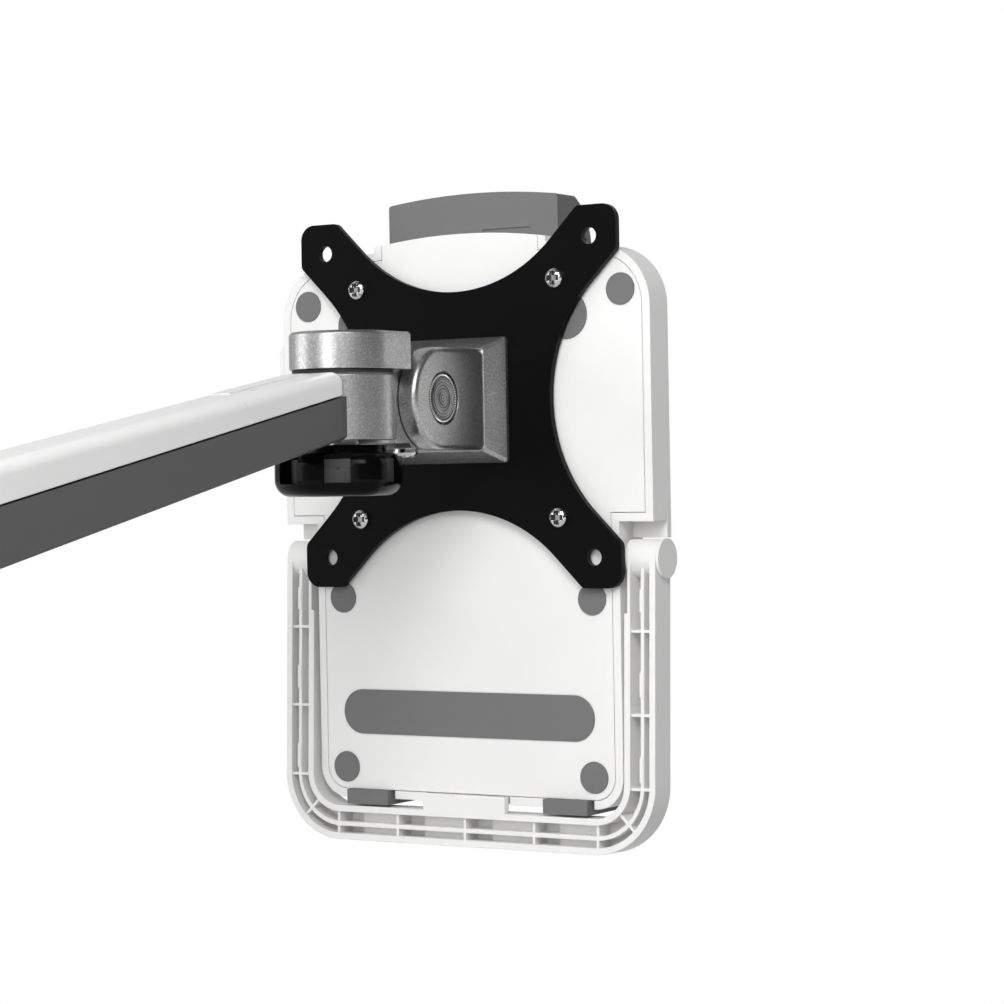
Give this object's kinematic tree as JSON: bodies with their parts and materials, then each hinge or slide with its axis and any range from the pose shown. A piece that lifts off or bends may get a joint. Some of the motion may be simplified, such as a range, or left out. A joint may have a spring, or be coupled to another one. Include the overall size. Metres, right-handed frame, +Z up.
{
  "type": "tablet holder",
  "caption": "Tablet holder with a sliding top clamp, lower hooks and folding leg, bolted to a tilting and turning head on a support arm.",
  "frame": {"origin": "middle of the vertical bore at the rear end of the arm", "axes": "+Z up along the bore, +Y forwards along the arm to the holder, +X to the right seen from behind the holder"},
  "size_m": [0.1446, 0.3162, 0.2105],
  "materials": {
    "white_plastic": "fine matt moulded",
    "grey_rubber": "matt",
    "grey_plastic": "matt",
    "black_steel": "fine textured black paint",
    "chrome": "bright",
    "steel": "turned",
    "turned_steel": "turned rings, knurled edge",
    "silver_casting": "silver paint with fine metallic grain",
    "black_nylon": "matt",
    "black_plastic": "gloss",
    "arm_white": "smooth satin paint",
    "arm_grey": "satin grey paint"
  },
  "bodies": {
    "arm": {"arm_casting": "silver_casting", "front_hub": "silver_casting", "arm_top_cover": "arm_white", "arm_lower_cover": "arm_grey", "arm_top_strip": "arm_white", "friction_washer": "black_nylon"},
    "yoke": {"yoke": "silver_casting", "swivel_stud": "steel", "tilt_lock_screw": "chrome"},
    "knob": {"clamp_knob": "black_plastic"},
    "head": {"head_block": "silver_casting", "tilt_bolt": "steel", "tilt_plug_left": "turned_steel", "tilt_plug_right": "turned_steel", "plate_pivot": "steel"},
    "holder": {"vesa_plate": "black_steel", "plate_screws": "chrome", "front_shell": "white_plastic", "back_cover": "white_plastic", "long_pad": "grey_rubber", "front_grip_left": "grey_rubber", "front_grip_right": "grey_rubber", "lower_hook_left": "grey_rubber", "lower_hook_right": "grey_rubber", "hinge_pin_left": "white_plastic", "hinge_pin_right": "white_plastic", "upper_pad_left": "grey_rubber", "upper_pad_right": "grey_rubber", "inner_pad_left": "grey_rubber", "inner_pad_right": "grey_rubber", "middle_pad_left": "grey_rubber", "middle_pad_right": "grey_rubber", "lower_pad_left": "grey_rubber", "lower_pad_right": "grey_rubber"},
    "clamp": {"top_clamp": "grey_rubber", "clamp_rail": "grey_plastic"},
    "button": {"release_button": "white_plastic"},
    "leg": {"support_leg": "white_plastic"}
  },
  "joints": [
    {"name": "head_swivel", "type": "hinge", "parent": "arm", "child": "yoke", "pos_m": [0, 0.202, 0.038], "axis": [0, 0, 1], "range_deg": [-90, 90]},
    {"name": "knob_turn", "type": "hinge", "parent": "yoke", "child": "knob", "pos_m": [0, 0.202, 0.017], "axis": [0, 0, 1], "continuous": true},
    {"name": "head_tilt", "type": "hinge", "parent": "yoke", "child": "head", "pos_m": [0, 0.2333, 0.038], "axis": [-1, 0, 0], "range_deg": [-45, 45]},
    {"name": "plate_turn", "type": "hinge", "parent": "head", "child": "holder", "pos_m": [0, 0.265, 0.038], "axis": [0, 1, 0], "range_deg": [-90, 90]},
    {"name": "clamp_slide", "type": "slide", "parent": "holder", "child": "clamp", "axis": [0, 0, 1], "range_m": [-0.03, 0.02]},
    {"name": "button_press", "type": "slide", "parent": "holder", "child": "button", "axis": [1, 0, 0], "range_m": [0, 0.0025], "stiffness_N_per_m": 400, "springref_m": -0.001},
    {"name": "leg_swing", "type": "hinge", "parent": "holder", "child": "leg", "pos_m": [0, 0.274, -0.0126], "axis": [-1, 0, 0], "range_deg": [-2.05, 62.95]}
  ]
}
